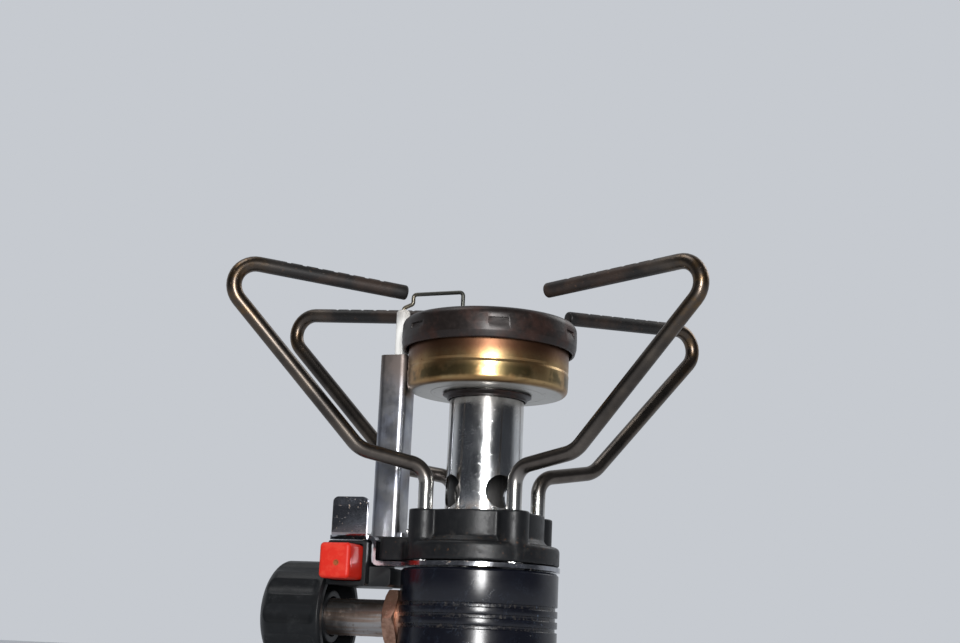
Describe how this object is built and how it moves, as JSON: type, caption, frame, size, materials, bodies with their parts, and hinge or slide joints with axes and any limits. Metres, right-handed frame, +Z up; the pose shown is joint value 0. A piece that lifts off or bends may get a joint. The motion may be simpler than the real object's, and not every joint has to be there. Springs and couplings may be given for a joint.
{
  "type": "canister stove",
  "caption": "Backpacking gas stove: screw-on valve body with a control knob, push-button igniter, mixing tube, round burner and swinging wire pot arms.",
  "frame": {"origin": "middle of the opening pin's flat tip, which meets the canister's valve", "axes": "+Z up the burner's axis, away from the canister; the knob points along -X; the igniter's button faces -Y"},
  "size_m": [0.1064, 0.0824, 0.098],
  "materials": {
    "black_anodised": "black anodised, glossy",
    "black_casting": "satin black casting",
    "brass": "turned",
    "copper_brass": "tarnished, coppery",
    "nickel_steel": "nickel-plated sheet, light scratches",
    "chrome_tube": "polished chrome",
    "arm_steel": "stainless wire with heat tint",
    "straw_steel": "polished, straw and brown heat tint",
    "scaled_steel": "dark oxide scale",
    "screw_steel": "zinc-plated",
    "rubber": "matt",
    "black_plastic": "moulded, satin",
    "red_plastic": "moulded, slightly worn",
    "ceramic": "white glazed ceramic",
    "cement": "grey refractory cement",
    "sintered_bronze": "sintered, matt",
    "spindle_steel": "turned, slightly brown"
  },
  "bodies": {
    "stove": {"valve_body": "black_anodised", "canister_collar": "brass", "canister_seal": "rubber", "opening_pin": "brass", "inlet_filter": "sintered_bronze", "gland_nut": "copper_brass", "gland_packing": "rubber", "bracket": "nickel_steel", "crown": "black_casting", "crown_screw_1": "screw_steel", "crown_screw_2": "screw_steel", "crown_screw_3": "screw_steel", "jet": "brass", "mixing_tube": "chrome_tube", "crimp_ring": "scaled_steel", "burner_cup": "straw_steel", "burner_cap": "scaled_steel", "port_plate": "scaled_steel", "burner_baffle": "nickel_steel", "burner_rivet": "scaled_steel", "electrode_guard": "nickel_steel", "guard_screw": "screw_steel", "ceramic_insulator": "ceramic", "insulator_seat": "cement", "electrode_wire": "screw_steel", "ignition_lead": "rubber", "piezo_housing": "black_plastic", "piezo_screw": "screw_steel", "striker_spring": "screw_steel", "piezo_crystal": "cement", "piezo_cover": "black_plastic", "arm_washer_front_left": "screw_steel", "arm_washer_front_right": "screw_steel", "arm_washer_rear_right": "screw_steel", "arm_washer_rear_left": "screw_steel"},
    "knob": {"knob": "black_plastic", "valve_spindle": "spindle_steel", "knob_screw": "screw_steel"},
    "spindle_carriage": {"spindle_ring": "rubber"},
    "button": {"piezo_button": "red_plastic", "piezo_plunger": "screw_steel"},
    "arm_front_left": {"arm_front_left": "arm_steel"},
    "arm_front_right": {"arm_front_right": "arm_steel"},
    "arm_rear_right": {"arm_rear_right": "arm_steel"},
    "arm_rear_left": {"arm_rear_left": "arm_steel"}
  },
  "joints": [
    {"name": "arm_front_left_swing", "type": "hinge", "parent": "stove", "child": "arm_front_left", "pos_m": [-0.00969, -0.00969, 0.04], "axis": [0, 0, 1], "range_deg": [-40, 56]},
    {"name": "arm_front_right_swing", "type": "hinge", "parent": "stove", "child": "arm_front_right", "pos_m": [0.00969, -0.00969, 0.04], "axis": [0, 0, 1], "range_deg": [-71, 26]},
    {"name": "arm_rear_right_swing", "type": "hinge", "parent": "stove", "child": "arm_rear_right", "pos_m": [0.00969, 0.00969, 0.04], "axis": [0, 0, 1], "range_deg": [-54, 43]},
    {"name": "arm_rear_left_swing", "type": "hinge", "parent": "stove", "child": "arm_rear_left", "pos_m": [-0.00969, 0.00969, 0.04], "axis": [0, 0, 1], "range_deg": [-85, 12]},
    {"name": "spindle_advance", "type": "slide", "parent": "stove", "child": "spindle_carriage", "axis": [-1, 0, 0], "range_m": [0, 0.0012]},
    {"name": "knob_turn", "type": "hinge", "parent": "spindle_carriage", "child": "knob", "pos_m": [-0.038, 0, 0.023], "axis": [-1, 0, 0], "range_deg": [0, 540]},
    {"name": "button_press", "type": "slide", "parent": "stove", "child": "button", "axis": [0, 1, 0], "range_m": [0, 0.004], "stiffness_N_per_m": 1200, "springref_m": -0.001}
  ],
  "couplings": [
    {"joint": "spindle_advance", "follows": "knob_turn", "m_per_rad": 0.00011937}
  ]
}
